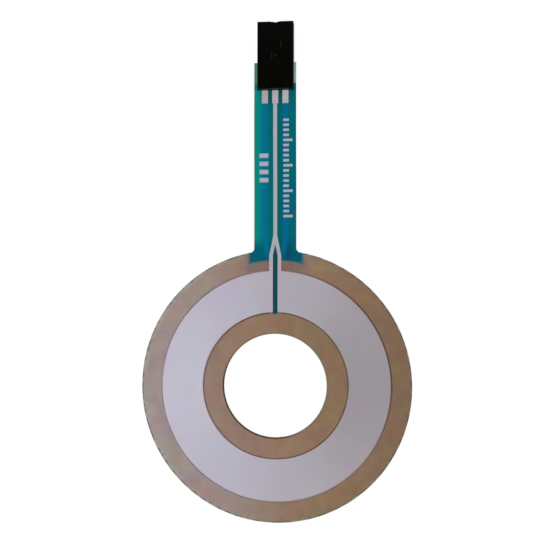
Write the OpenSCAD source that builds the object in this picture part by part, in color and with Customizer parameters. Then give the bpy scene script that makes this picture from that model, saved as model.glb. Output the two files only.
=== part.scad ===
// Rotary membrane potentiometer: a laminated film ring with a flat tail and a crimped socket connector.
// It lies on its back. The origin is the centre of the ring's hole on the resting plane,
// +Z points out of the front film and +Y runs along the tail to the connector.

/* [Ring] */
// Diameter of the hole in the middle
hole_d = 25.2; // [20:0.2:40]
// Width of the band between the hole and the collector
inner_band_w = 5.3; // [3:0.1:8]
// Radial width of the silver collector ring
collector_w = 10.1; // [6:0.05:16]
// Width of the band outside the collector
outer_band_w = 5.1; // [4.2:0.05:8]
// Clearance from the collector's edge to the wall of the air cavity
cavity_clearance = 0.3; // [0.2:0.05:0.5]
// Sideways slip of the cavity against the collector, as laminated
cavity_shift = 0.15; // [0:0.05:0.2]

/* [Layers] */
// Release liner, peeled off before fitting
liner_t = 0.08; // [0.05:0.01:0.15]
// Adhesive that holds the sensor down
rear_adhesive_t = 0.13; // [0.05:0.01:0.15]
// Polyester film that carries the resistive track
rear_film_t = 0.125; // [0.075:0.025:0.25]
// Spacer tape round the air cavity
spacer_t = 0.19; // [0.14:0.01:0.3]
// Clear polyester film that carries the collector and forms the tail
front_film_t = 0.075; // [0.05:0.025:0.2]
// One pass of printed ink
ink_t = 0.02; // [0.01:0.005:0.025]

/* [Tail] */
// Width of the tail
tail_w = 10.4; // [9.6:0.1:14]
// Length of the tail, from the ring's edge to the film's end
tail_l = 46.45; // [38:0.05:90]
// Fillet between the tail and the ring
root_fillet = 1.1; // [0.5:0.1:2]
// How far the rear layers reach past the ring's edge onto the tail
tab_reach = 0.25; // [0:0.05:0.5]
// Flat run of the tail before it starts to rise to the connector
flat_run = 8.8; // [6:0.1:12]
// Level run of the tail before its end
level_run = 13.65; // [12:0.05:16]

/* [Front print] */
// Width of the slit through the collector ring
slit_w = 1.15; // [0.6:0.05:1.4]
// Width of each leg beside the slit
leg_w = 0.9; // [0.6:0.05:1.4]
// Width of the centre trace down the tail
trace_w = 0.95; // [0.6:0.05:1.6]
// Where the centre trace starts to split, out from the ring's edge
split_start = 3.7; // [2.5:0.1:5]
// Where the slit comes to its tip, out from the ring's edge
slit_tip = 1.5; // [0.5:0.1:2]
// Where the legs turn parallel, in from the ring's edge
split_end = 1.2; // [0.5:0.1:2]

/* [Tail prints] */
// Width of each contact pad
pad_w = 1.5; // [1.4:0.01:1.8]
// Spacing of the pads and of the contacts
pitch = 2.54; // [2.5:0.02:2.7]
// From the film's end back to the near end of the pads
pad_reach = 10.15; // [9:0.05:11.5]
// Bare film past the far end of the pads
pad_margin = 1.0; // [0.5:0.1:1.5]
// Width of the two outer leads
lead_w = 1.1; // [0.6:0.05:1.4]
// How far each outer lead laps onto its pad
lead_lap = 1.6; // [1:0.1:2]
// Width of the insulating foot over the ring's outer band
foot_w = 13; // [12:0.1:16]
// How far the insulating foot reaches in from the ring's edge
foot_reach = 2.2; // [1.9:0.05:3]
// From the film's end back to the edge of the second insulating coat
coat_stop = 5.2; // [4.5:0.05:6]

/* [Track terminals] */
// Width of the silver bar at each end of the resistive track
terminal_w = 0.8; // [0.5:0.05:1.2]
// How far outside the cavity the bar steps across to its lead
step_margin = 0.75; // [0.4:0.05:1]
// Length of that step along the tail
step_w = 0.8; // [0.5:0.05:1]
// Diameter of the conductive dot between each lead and its terminal
bridge_d = 0.9; // [0.5:0.05:1.0]
// From the foot's inner edge to the end of each lead
lead_inset = 0.15; // [0.1:0.05:0.3]

/* [Connector] */
// Width of the connector
housing_w = 8.9; // [8.6:0.1:10]
// Length of the connector
housing_l = 16.55; // [15.5:0.05:20]
// Height of the connector
housing_h = 3.2; // [3:0.05:4]
// Length of tail that goes into the connector
film_insert = 6.9; // [6.4:0.05:8]
// Sideways seat of the connector on the tail
connector_shift = 0.2; // [-0.4:0.05:0.4]
// Floor under the contacts
floor_t = 0.95; // [0.8:0.05:1.1]
// Depth of the slot in the socket block that stops the film's end
stop_depth = 0.55; // [0.4:0.05:0.8]
// Bevel along the long edges of the moulding
edge_bevel = 0.2; // [0.1:0.05:0.4]
// Width of the shallow groove along the top of the socket block
groove_w = 2.4; // [1.6:0.1:3]
// Depth of that groove
groove_depth = 0.25; // [0.1:0.05:0.4]
// Width of the notch at the mouth end of the groove
notch_w = 0.9; // [0.5:0.05:1.3]
// Length of that notch
notch_l = 1.7; // [1:0.1:2.5]
// Depth of that notch below the groove
notch_depth = 0.4; // [0.1:0.05:0.5]
// Diameter of the round nub in the groove
nub_d = 0.9; // [0.5:0.05:1.2]
// Height of the nub above the groove's floor
nub_h = 0.12; // [0.05:0.01:0.2]
// From the cover's end to the middle of the nub
nub_inset = 2.0; // [1.5:0.1:3]
// Radius of the round tongue on the cover's end
tongue_r = 0.7; // [0.4:0.05:0.8]
// Width of the ribs between the contacts
rib_w = 0.8; // [0.6:0.05:0.9]
// Diameter of the cover's two pegs
peg_d = 0.4; // [0.3:0.05:0.45]
// Depth of the holes that take the pegs, below the ribs' tops
peg_depth = 0.6; // [0.4:0.05:0.8]
// Side of each square pin opening
pin_opening = 1.0; // [0.8:0.05:1.2]
// Thickness of the wall that the pin openings go through
mouth_wall = 1.0; // [0.8:0.05:1.5]
// How much wider each pin opening is at its flared mouth, on each side
mouth_flare = 0.3; // [0.15:0.05:0.4]

/* [Contacts] */
// Sheet thickness of the contacts
contact_t = 0.25; // [0.2:0.01:0.3]
// Width of the crimp base under the film
contact_w = 1.4; // [1.2:0.05:1.45]
// From the connector's film end to the crimp base
crimp_inset = 0.6; // [0.3:0.1:1]
// Length of the narrow neck between the crimp base and the spring box
neck_l = 1.1; // [0.8:0.05:1.4]
// Height of the spring box that grips a pin
box_h = 1.3; // [1.1:0.05:1.4]
// Length of the spring box
box_l = 6.6; // [5:0.1:7]
// Gap between the springs where they grip
grip_gap = 0.5; // [0.4:0.02:0.6]
// Width of each crimp tine
tine_w = 0.6; // [0.4:0.05:0.8]
// Length of each tine's end, folded over the film
tine_fold = 0.42; // [0.25:0.01:0.45]
// Spacing of the two rows of tines
tine_pitch = 2.0; // [1.2:0.1:2.4]

/* [Hidden] */

// Working allowances: how far a cutter overshoots a face, and the fit between loose neighbours
cut_over = 0.5;
fit = 0.05;
arc_fn = 180;
rise_steps = 24;

// Radii of the ring, from the hole outwards
hole_r = hole_d / 2;
collector_in_r = hole_r + inner_band_w;
collector_out_r = collector_in_r + collector_w;
ring_r = collector_out_r + outer_band_w;
cavity_in_r = collector_in_r - cavity_clearance;
cavity_out_r = collector_out_r + cavity_clearance;
foot_r = ring_r - foot_reach;

// Levels of the ring's layers, from the resting plane up
rear_adhesive_z = liner_t;
rear_film_z = rear_adhesive_z + rear_adhesive_t;
spacer_z = rear_film_z + rear_film_t;
front_film_z = spacer_z + spacer_t;

// Depths of the prints under the front film
first_coat_d = 2 * ink_t;
lead_d = 3 * ink_t;
second_coat_d = 4 * ink_t;

// Places along the tail
tab_y = ring_r + tab_reach;
tail_end = ring_r + tail_l;
rise_start = ring_r + flat_run;
rise_end = tail_end - level_run;
pad_start = tail_end - pad_reach;
pad_end = tail_end - pad_margin;
coat_end = tail_end - coat_stop;
outer_x = pitch;

// The rise: two equal arcs that meet at half height
level_z = floor_t + contact_t + ink_t;
rise_h = level_z - front_film_z;
rise_l = rise_end - rise_start;
rise_r = (rise_l * rise_l + rise_h * rise_h) / (4 * rise_h);
rise_a = asin(rise_l / (2 * rise_r));

// Silver on the rear film: the bar beside the gap, the step across and the landing under the lead
step_y = cavity_out_r + step_margin;
lead_start = foot_r + lead_inset;
bridge_y = lead_start + lead_w / 2;
landing_end = bridge_y + lead_w / 2;

// Connector levels and places
housing_y = tail_end - film_insert;
housing_end = housing_y + housing_l;
block_y = tail_end - stop_depth;
cover_end = block_y - fit;
film_top_z = level_z + front_film_t;
contact_z = floor_t;
box_y = block_y + neck_l;
box_end = box_y + box_l;
cavity_w = max(contact_w, grip_gap + 4 * contact_t) + 2 * fit;
cavity_top = contact_z + box_h + 2 * fit;
cavity_end = housing_end - mouth_wall;
pin_z = contact_z + box_h / 2;
rib_top = level_z - second_coat_d - fit / 2;
window_w = contact_w + 2 * abs(connector_shift) + 4 * fit;
crimp_start = housing_y + crimp_inset;
tine_mid = (crimp_start + block_y) / 2;
nub_y = block_y + nub_inset;

// Concave corner between the tail's side and the ring's rim
module root_web(side) {
    corner_x = tail_w / 2 + root_fillet;
    corner_y = sqrt(pow(ring_r + root_fillet, 2) - corner_x * corner_x);
    share = ring_r / (ring_r + root_fillet);
    mirror([side < 0 ? 1 : 0, 0])
        difference() {
            polygon([[0, 0], [corner_x * share, corner_y * share], [corner_x, corner_y],
                     [tail_w / 2, corner_y], [0, corner_y]]);
            translate([corner_x, corner_y]) circle(root_fillet, $fn = arc_fn);
        }
}

// Die-cut outline of the ring and of the tail as far as top_y
module film_outline(top_y) {
    difference() {
        union() {
            circle(ring_r, $fn = arc_fn);
            intersection() {
                union() {
                    root_web(1);
                    root_web(-1);
                }
                translate([-ring_r, 0]) square([2 * ring_r, top_y]);
            }
            translate([-tail_w / 2, 0]) square([tail_w, top_y]);
        }
        circle(hole_r, $fn = arc_fn);
    }
}

// A layer behind the front film: the ring with its short tab
module rear_layer(z, t) {
    translate([0, 0, z]) linear_extrude(t) film_outline(tab_y);
}

// A flat block of print or film, from depth d0 to depth d1 under a film whose underside is at z
module slab(x0, x1, y0, y1, d0, d1, z) {
    translate([x0, y0, z - d1]) cube([x1 - x0, y1 - y0, d1 - d0]);
}

// A point of the rise at depth d under the front film, for t from 0 at its foot to 1 at its top
function rise_point(d, t) = t < 0.5
    ? [rise_start + (rise_r + d) * sin(2 * t * rise_a),
       front_film_z + rise_r - (rise_r + d) * cos(2 * t * rise_a)]
    : [rise_end - (rise_r - d) * sin(2 * (1 - t) * rise_a),
       level_z - rise_r + (rise_r - d) * cos(2 * (1 - t) * rise_a)];

// The side line at depth d, from y0 on the ring's level to y1 on the connector's level
function side_line(d, y0, y1) = concat(
    [[y0, front_film_z - d]],
    [for (k = [0 : rise_steps]) rise_point(d, k / rise_steps)],
    [[y1, level_z - d]]);

function reversed(line) = [for (k = [len(line) - 1 : -1 : 0]) line[k]];

// A strip of the tail between x0 and x1, from depth d0 to depth d1, bent with the rise
module strip(x0, x1, y0, y1, d0, d1) {
    translate([x0, 0, 0]) rotate([90, 0, 90]) linear_extrude(x1 - x0)
        polygon(concat(side_line(d1, y0, y1), reversed(side_line(d0, y0, y1))));
}

// Plan of the silver fork: the centre trace's end, the two legs and the collector ring
module fork_outline() {
    half_slit = slit_w / 2;
    leg_x = half_slit + leg_w;
    fork_y = ring_r - split_end;
    difference() {
        union() {
            difference() {
                circle(collector_out_r, $fn = arc_fn);
                circle(collector_in_r, $fn = arc_fn);
            }
            polygon([[-leg_x, collector_in_r + leg_w], [-leg_x, fork_y],
                     [-trace_w / 2, ring_r + split_start], [trace_w / 2, ring_r + split_start],
                     [leg_x, fork_y], [leg_x, collector_in_r + leg_w]]);
        }
        polygon([[-half_slit, 0], [-half_slit, fork_y], [0, ring_r + slit_tip],
                 [half_slit, fork_y], [half_slit, 0]]);
    }
}

// The silver of the fork as a solid; over lengthens it upwards where it is used as a cutter
module fork(over = 0) {
    translate([0, 0, front_film_z - ink_t]) linear_extrude(ink_t + over) fork_outline();
}

// The centre trace along the tail
module centre_trace(over = 0) {
    strip(-trace_w / 2, trace_w / 2, ring_r + split_start, pad_start + over, -over, ink_t);
}

// A contact pad, centred on x
module pad(x, over = 0) {
    slab(x - pad_w / 2, x + pad_w / 2, pad_start, pad_end, -over, ink_t, level_z);
}

// Plan of the insulating foot over the ring's outer band, with the strip that fills the slit
module foot_outline() {
    intersection() {
        film_outline(rise_start);
        union() {
            difference() {
                translate([-foot_w / 2, 0]) square([foot_w, rise_start]);
                circle(foot_r, $fn = arc_fn);
            }
            translate([-slit_w / 2, collector_in_r]) square([slit_w, ring_r - collector_in_r]);
        }
    }
}

// A hole for each crimp tine of a contact centred on x
module tine_holes(x) {
    for (row = [-1, 1], side = [-1, 1])
        translate([x + side * (contact_w - contact_t) / 2, tine_mid + row * tine_pitch / 2, level_z])
            cube([contact_t + fit, tine_w + fit, 4 * front_film_t], center = true);
}

// Where the cover's two pegs stand, between the contacts
module peg_places() {
    for (side = [-1, 1]) translate([connector_shift + side * pitch / 2, tine_mid]) children();
}

// Every hole that the connector makes through the tail: four tines a contact, and the two pegs
module crimp_holes() {
    for (k = [-1, 0, 1]) tine_holes(connector_shift + k * pitch);
    translate([0, 0, level_z - cut_over]) linear_extrude(front_film_t + 2 * cut_over)
        peg_places() circle(d = peg_d + 2 * fit, $fn = arc_fn);
}

// The bare windows behind the pads, through coats from depth d0 to depth d1, for the contacts
module contact_windows(d0, d1) {
    for (k = [-1, 0, 1])
        slab(k * pitch - window_w / 2, k * pitch + window_w / 2, housing_y - fit,
             tail_end + cut_over, d0, d1, level_z);
}

// The end of an outer lead where it laps onto its pad
module lead_lap_block(x) {
    slab(x - lead_w / 2, x + lead_w / 2, pad_start, pad_start + lead_lap, ink_t, lead_d, level_z);
}

// An outer lead centred on x: along the tail, and up onto its pad
module lead(x) {
    strip(x - lead_w / 2, x + lead_w / 2, lead_start, pad_start + lead_lap, first_coat_d, lead_d);
    lead_lap_block(x);
}

// Plan of the silver terminal at one end of the resistive track
module terminal_outline(side) {
    mirror([side < 0 ? 1 : 0, 0]) {
        translate([slit_w / 2, cavity_in_r + fit]) square([terminal_w, step_y + step_w - cavity_in_r - fit]);
        translate([slit_w / 2, step_y]) square([outer_x + lead_w / 2 - slit_w / 2, step_w]);
        translate([outer_x - lead_w / 2, step_y]) square([lead_w, landing_end - step_y]);
    }
}

// A terminal as a solid on the rear film
module terminal(side) {
    translate([0, 0, spacer_z]) linear_extrude(ink_t) terminal_outline(side);
}

// The conductive dot between a terminal and its lead
module bridge(x, extra = 0) {
    translate([x, bridge_y, spacer_z + ink_t])
        cylinder(h = spacer_t - ink_t - lead_d, d = bridge_d + extra, $fn = arc_fn);
}

// One stamped contact: crimp base with four tines, neck, and a box with two springs
module contact(x) {
    half = contact_w / 2;
    tine_h = film_top_z + contact_t - contact_z;
    grip_x = grip_gap / 2;
    bend_y = box_y + box_l * 0.35;
    grip_y = box_y + box_l * 0.8;
    translate([x, 0, contact_z]) {
        translate([-half, crimp_start, 0]) cube([contact_w, block_y - crimp_start, contact_t]);
        translate([-half + contact_t, block_y, 0])
            cube([contact_w - 2 * contact_t, box_y - block_y, contact_t]);
        translate([-half, box_y, 0]) cube([contact_w, box_l, contact_t]);
        for (side = [0, 1]) mirror([side, 0]) {
            for (row = [-1, 1]) translate([0, tine_mid + row * tine_pitch / 2 - tine_w / 2, 0]) {
                translate([half - contact_t, 0, 0]) cube([contact_t, tine_w, tine_h]);
                translate([half - contact_t - tine_fold, 0, film_top_z - contact_z])
                    cube([tine_fold + contact_t, tine_w, contact_t]);
            }
            linear_extrude(box_h)
                polygon([[half, box_y], [half, bend_y], [grip_x + contact_t, grip_y],
                         [grip_x + 2 * contact_t, box_end], [grip_x + contact_t, box_end],
                         [grip_x, grip_y], [half - contact_t, bend_y], [half - contact_t, box_y]]);
        }
    }
}

// Cross-section of the moulding between two levels, with bevelled outer edges where asked
module moulding(y0, y1, z0, z1, bevel_top, bevel_bottom) {
    half = housing_w / 2;
    top = bevel_top ? edge_bevel : 0;
    bottom = bevel_bottom ? edge_bevel : 0;
    translate([connector_shift, y1, 0]) rotate([90, 0, 0]) linear_extrude(y1 - y0)
        polygon([[-half + bottom, z0], [half - bottom, z0], [half, z0 + bottom], [half, z1 - top],
                 [half - top, z1], [-half + top, z1], [-half, z1 - top], [-half, z0 + bottom]]);
}

// A square pin opening with a flared mouth, centred on x
module pin_mouth(x) {
    side = pin_opening / 2;
    translate([x, housing_end, pin_z]) {
        translate([-side, -mouth_wall - cut_over, -side])
            cube([pin_opening, mouth_wall + 2 * cut_over, pin_opening]);
        intersection() {
            translate([0, 0, -pin_opening]) linear_extrude(2 * pin_opening)
                polygon([[-side, -mouth_flare], [side, -mouth_flare],
                         [side + 2 * mouth_flare, mouth_flare], [-side - 2 * mouth_flare, mouth_flare]]);
            translate([-pin_opening, 0, 0]) rotate([90, 0, 90]) linear_extrude(2 * pin_opening)
                polygon([[-mouth_flare, -side], [-mouth_flare, side],
                         [mouth_flare, side + 2 * mouth_flare], [mouth_flare, -side - 2 * mouth_flare]]);
        }
    }
}

module release_liner() { color([0.80, 0.71, 0.56]) rear_layer(0, liner_t); }

module rear_adhesive() { color([0.72, 0.64, 0.52]) rear_layer(rear_adhesive_z, rear_adhesive_t); }

module rear_film() { color([0.74, 0.70, 0.62]) rear_layer(rear_film_z, rear_film_t); }

// Carbon ring, open at the slit where the two terminals take its ends
module resistive_track() {
    gap_half = slit_w / 2 + terminal_w;
    color([0.10, 0.10, 0.11]) translate([0, 0, spacer_z]) linear_extrude(ink_t)
        difference() {
            translate([cavity_shift, 0]) circle(cavity_out_r - fit, $fn = arc_fn);
            translate([cavity_shift, 0]) circle(cavity_in_r + fit, $fn = arc_fn);
            translate([-gap_half, 0]) square([2 * gap_half, ring_r]);
        }
}

module left_terminal() { color([0.74, 0.73, 0.76]) terminal(-1); }

module right_terminal() { color([0.74, 0.73, 0.76]) terminal(1); }

// Outer band of the spacer tape, relieved where the prints and the dots pass
module outer_spacer() {
    color([0.54, 0.43, 0.33]) difference() {
        rear_layer(spacer_z, spacer_t);
        translate([cavity_shift, 0, spacer_z - cut_over])
            cylinder(h = spacer_t + 2 * cut_over, r = cavity_out_r, $fn = arc_fn);
        fork(cut_over);
        translate([0, 0, front_film_z - first_coat_d])
            linear_extrude(first_coat_d + cut_over) foot_outline();
        for (side = [-1, 1]) {
            slab(side * outer_x - lead_w / 2, side * outer_x + lead_w / 2, lead_start,
                 rise_start, -cut_over, lead_d, front_film_z);
            translate([0, 0, spacer_z - cut_over]) linear_extrude(ink_t + cut_over)
                terminal_outline(side);
            bridge(side * outer_x, 2 * fit);
        }
    }
}

// Inner band of the spacer tape
module inner_spacer() {
    color([0.56, 0.45, 0.35]) translate([0, 0, spacer_z]) linear_extrude(spacer_t)
        difference() {
            translate([cavity_shift, 0]) circle(cavity_in_r, $fn = arc_fn);
            circle(hole_r, $fn = arc_fn);
        }
}

module left_bridge() { color([0.66, 0.66, 0.68]) bridge(-outer_x); }

module right_bridge() { color([0.66, 0.66, 0.68]) bridge(outer_x); }

// Silver printed in one pass: collector ring, legs, centre trace and centre pad
module collector_print() {
    color([0.72, 0.70, 0.75]) difference() {
        union() {
            fork();
            centre_trace();
            pad(0);
        }
        crimp_holes();
    }
}

module left_pad() { color([0.72, 0.70, 0.75]) difference() { pad(-outer_x); crimp_holes(); } }

module right_pad() { color([0.72, 0.70, 0.75]) difference() { pad(outer_x); crimp_holes(); } }

// First insulating coat: tail, foot and the strip in the slit, open over the pads
module first_dielectric() {
    color([0.02, 0.40, 0.44]) difference() {
        union() {
            translate([0, 0, front_film_z - first_coat_d]) linear_extrude(first_coat_d) foot_outline();
            strip(-tail_w / 2, tail_w / 2, rise_start - cut_over, tail_end, 0, first_coat_d);
        }
        fork(cut_over);
        centre_trace(cut_over);
        for (k = [-1, 0, 1]) pad(k * pitch, cut_over);
        for (side = [-1, 1]) lead_lap_block(side * outer_x);
        contact_windows(ink_t, first_coat_d + cut_over);
        crimp_holes();
    }
}

module left_lead() { color([0.70, 0.70, 0.73]) lead(-outer_x); }

module right_lead() { color([0.70, 0.70, 0.73]) lead(outer_x); }

// Second insulating coat over the outer leads, notched where the contacts meet the pads
module second_dielectric() {
    color([0.03, 0.42, 0.45]) difference() {
        strip(-tail_w / 2, tail_w / 2, tab_y + fit, coat_end, first_coat_d, second_coat_d);
        for (side = [-1, 1])
            strip(side * outer_x - lead_w / 2, side * outer_x + lead_w / 2, tab_y - cut_over,
                  pad_start + lead_lap, 0, lead_d);
        contact_windows(first_coat_d - cut_over, second_coat_d + cut_over);
    }
}

// Clear film of the ring and the whole tail, pierced by the tines and the cover's pegs
module front_film() {
    color([0.86, 0.89, 0.87, 0.35]) difference() {
        union() {
            translate([0, 0, front_film_z]) linear_extrude(front_film_t) film_outline(rise_start);
            strip(-tail_w / 2, tail_w / 2, rise_start - cut_over, tail_end, -front_film_t, 0);
        }
        crimp_holes();
    }
}

// Moulded housing: the floor under the crimps and the block with three pin sockets
module connector_housing() {
    color([0.05, 0.05, 0.05]) difference() {
        union() {
            moulding(housing_y, block_y, 0, floor_t, false, true);
            moulding(block_y, housing_end, 0, housing_h, true, true);
            for (side = [-1, 1])
                translate([connector_shift + side * pitch / 2 - rib_w / 2, housing_y + fit, 0])
                    cube([rib_w, block_y - housing_y, rib_top]);
        }
        for (k = [-1, 0, 1]) {
            translate([connector_shift + k * pitch - cavity_w / 2, block_y - cut_over, contact_z])
                cube([cavity_w, cavity_end - block_y + cut_over, cavity_top - contact_z]);
            pin_mouth(connector_shift + k * pitch);
        }
        translate([connector_shift - housing_w, block_y - fit, level_z - first_coat_d - fit])
            cube([2 * housing_w, stop_depth + 2 * fit, first_coat_d + front_film_t + 2 * fit]);
        translate([0, 0, rib_top - peg_depth]) linear_extrude(peg_depth + cut_over)
            peg_places() circle(d = peg_d + fit, $fn = arc_fn);
        tongue(fit);
        translate([connector_shift - groove_w / 2, block_y - fit, housing_h - groove_depth])
            cube([groove_w, housing_end - block_y + cut_over, groove_depth + cut_over]);
        translate([connector_shift - notch_w / 2, housing_end - notch_l, housing_h - groove_depth - notch_depth])
            cube([notch_w, notch_l + cut_over, notch_depth + cut_over]);
    }
    color([0.05, 0.05, 0.05]) translate([connector_shift, nub_y, housing_h - groove_depth])
        cylinder(h = nub_h, d = nub_d, $fn = arc_fn);
}

// Round tongue on the cover's end; gap widens it where the housing is cut to take it
module tongue(gap = 0) {
    foot_z = film_top_z + 4 * fit - gap;
    translate([connector_shift, cover_end, foot_z])
        cylinder(h = housing_h - groove_depth - foot_z + gap, r = tongue_r + gap, $fn = arc_fn);
}

// Pressed-on cover that clamps the film onto the contacts, with two pegs and pockets for the tines
module connector_cover() {
    pocket_l = tine_pitch + tine_w + 4 * fit;
    color([0.06, 0.06, 0.06]) {
        difference() {
            union() {
                moulding(housing_y, cover_end, film_top_z, housing_h, true, false);
                tongue();
            }
            for (k = [-1, 0, 1])
                translate([connector_shift + k * pitch - contact_w / 2 - fit,
                           tine_mid - pocket_l / 2, film_top_z - cut_over])
                    cube([contact_w + 2 * fit, pocket_l, contact_t + 2 * fit + cut_over]);
        }
        translate([0, 0, rib_top - peg_depth + fit]) linear_extrude(film_top_z - rib_top + peg_depth)
            peg_places() circle(d = peg_d, $fn = arc_fn);
    }
}

module left_contact() { color([0.78, 0.77, 0.72]) contact(connector_shift - pitch); }

module centre_contact() { color([0.78, 0.77, 0.72]) contact(connector_shift); }

module right_contact() { color([0.78, 0.77, 0.72]) contact(connector_shift + pitch); }

release_liner();
rear_adhesive();
rear_film();
resistive_track();
left_terminal();
right_terminal();
outer_spacer();
inner_spacer();
left_bridge();
right_bridge();
collector_print();
left_pad();
right_pad();
first_dielectric();
left_lead();
right_lead();
second_dielectric();
front_film();
connector_housing();
connector_cover();
left_contact();
centre_contact();
right_contact();
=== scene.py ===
"""Looks of a rotary membrane potentiometer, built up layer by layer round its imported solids."""

import math

import bpy
import numpy as np
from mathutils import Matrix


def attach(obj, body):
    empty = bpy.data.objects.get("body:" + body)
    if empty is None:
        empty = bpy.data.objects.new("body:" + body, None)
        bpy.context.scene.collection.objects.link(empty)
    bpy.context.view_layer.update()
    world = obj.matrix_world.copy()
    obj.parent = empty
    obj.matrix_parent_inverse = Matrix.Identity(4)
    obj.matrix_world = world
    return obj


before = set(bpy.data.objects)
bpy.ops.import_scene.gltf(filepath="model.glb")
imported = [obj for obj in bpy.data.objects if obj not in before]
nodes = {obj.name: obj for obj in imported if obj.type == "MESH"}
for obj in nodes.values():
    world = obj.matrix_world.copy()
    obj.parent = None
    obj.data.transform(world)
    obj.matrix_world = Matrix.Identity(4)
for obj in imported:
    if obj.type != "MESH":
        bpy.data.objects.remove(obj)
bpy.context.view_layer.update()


# Release liner: kraft paper with a silicone coat, die-cut with the sensor and peeled off before fitting.
# It is the lowest layer, so only its underside and its thin edge show.
MM = 0.001


def linear(hex_colour):
    """Linear RGBA of an sRGB hex colour, by the standard curve: a straight foot, then a 2.4 power."""
    parts = [int(hex_colour[i:i + 2], 16) / 255 for i in (1, 3, 5)]
    return (*[c / 12.92 if c <= 0.04045 else ((c + 0.055) / 1.055) ** 2.4 for c in parts], 1)


def add(tree, kind, inputs=None, out=0, stops=None, **settings):
    """One node with its settings, links and, for a ramp, its stops of place and colour. Returns an output.

    A Mix node has its share at 0, and its two numbers at 2 and 3 or its two colours at 6 and 7. The
    mixed colour is its output 2.
    """
    node = tree.nodes.new("ShaderNode" + kind)
    for name, value in settings.items():
        setattr(node, name, value)
    for key, value in (inputs or {}).items():
        if isinstance(value, bpy.types.NodeSocket):
            tree.links.new(value, node.inputs[key])
        else:
            node.inputs[key].default_value = value
    if stops:
        ramp = node.color_ramp.elements
        while len(ramp) < len(stops):
            ramp.new(1)
        for element, (place, colour) in zip(ramp, stops):
            element.position, element.color = place, linear(colour)
    return node.outputs[out] if node.outputs else None


def material(name, surface):
    """A node material whose shader is surface(tree, place), with place the object's own point in mm."""
    made = bpy.data.materials.new(name)
    made.use_nodes = True
    tree = made.node_tree
    tree.nodes.clear()
    where = add(tree, "TexCoord", out="Object")
    place = add(tree, "Mapping", {"Vector": where, "Scale": (1 / MM, 1 / MM, 1 / MM)})
    add(tree, "OutputMaterial", {"Surface": surface(tree, place)})
    return made


def dress(names, finish):
    """Gives CAD nodes a finish through their own material slots."""
    for name in names:
        for slot in nodes[name].material_slots:
            slot.material = finish


def kraft_paper(tree, place):
    """Brown kraft with a dull silicone sheen: the shade of fine fibres times that of cloudy pulp.

    The fibres are drawn wider than real ones, so that they show.
    """
    fibre_mm, fibre_rise_mm, pulp_mm = 0.35, 0.01, 2.5
    fibres = add(tree, "TexNoise", {"Vector": place, "Scale": 1 / fibre_mm, "Detail": 3.0})
    pulp = add(tree, "TexNoise", {"Vector": place, "Scale": 1 / pulp_mm, "Detail": 2.0})
    both = add(tree, "Math", {0: fibres, 1: pulp}, operation="MULTIPLY")
    colour = add(tree, "ValToRGB", {"Fac": both}, stops=[(0.12, "#A58A62"), (0.38, "#C4AA80")])
    relief = add(tree, "Bump", {"Height": fibres, "Strength": 0.2, "Distance": fibre_rise_mm * MM})
    return add(tree, "BsdfPrincipled", {"Base Color": colour, "Roughness": 0.45, "Normal": relief})


dress(["release_liner"], material("kraft_liner", kraft_paper))


# Rear adhesive: an acrylic transfer tape, clear amber and soft, rolled onto the rear film.
# It shows only as a thin line in the laminate's cut edge.
def acrylic_adhesive(tree, place):
    """Amber glue with small trapped bubbles that break up its cut edge."""
    bubble_mm = 0.18
    bubbles = add(tree, "TexNoise", {"Vector": place, "Scale": 1 / bubble_mm, "Detail": 1.0})
    colour = add(tree, "ValToRGB", {"Fac": bubbles}, stops=[(0.35, "#A98D5E"), (0.65, "#C3AB7F")])
    return add(tree, "BsdfPrincipled", {"Base Color": colour, "Roughness": 0.35})


dress(["rear_adhesive"], material("acrylic_adhesive", acrylic_adhesive))


# Rear film: heat-stabilised polyester sheet that carries the resistive track, die-cut like the liner.
# Its top is hidden by the spacer and the track, apart from narrow lines beside the air gap.
def milky_polyester(tree, place):
    """Milky film, frosted by the die in spots about as wide as its cut edge is high."""
    frost_mm = 0.12
    frost = add(tree, "TexNoise", {"Vector": place, "Scale": 1 / frost_mm, "Detail": 1.0})
    colour = add(tree, "ValToRGB", {"Fac": frost}, stops=[(0.3, "#A2988A"), (0.7, "#B8AFA2")])
    return add(tree, "BsdfPrincipled", {"Base Color": colour, "Roughness": 0.3, "IOR": 1.58})


dress(["rear_film"], material("milky_polyester", milky_polyester))


# Resistive track: carbon ink screen-printed on the rear film, under the air gap.
# It is seen only through the narrow gaps beside the silver ring. Its feathered edge there carries
# painted shade of those gaps, light at the lower left and dark to the right.
def from_axis(tree, place):
    """Distance from the ring's axis in mm: the length of the point's x and y alone."""
    flat = add(tree, "VectorMath", {0: place, 1: (1, 1, 0)}, operation="MULTIPLY")
    return add(tree, "VectorMath", {0: flat}, out="Value", operation="LENGTH")


def round_axis(tree, place, towards):
    """Where a point lies round the axis: 1 in the direction towards, 0 opposite, by the angle's cosine."""
    flat = add(tree, "VectorMath", {0: place, 1: (1, 1, 0)}, operation="MULTIPLY")
    unit = add(tree, "VectorMath", {0: flat}, operation="NORMALIZE")
    cosine = add(tree, "VectorMath", {0: unit, 1: towards}, out="Value", operation="DOT_PRODUCT")
    return add(tree, "MapRange", {"Value": cosine, "From Min": -1})


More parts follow.
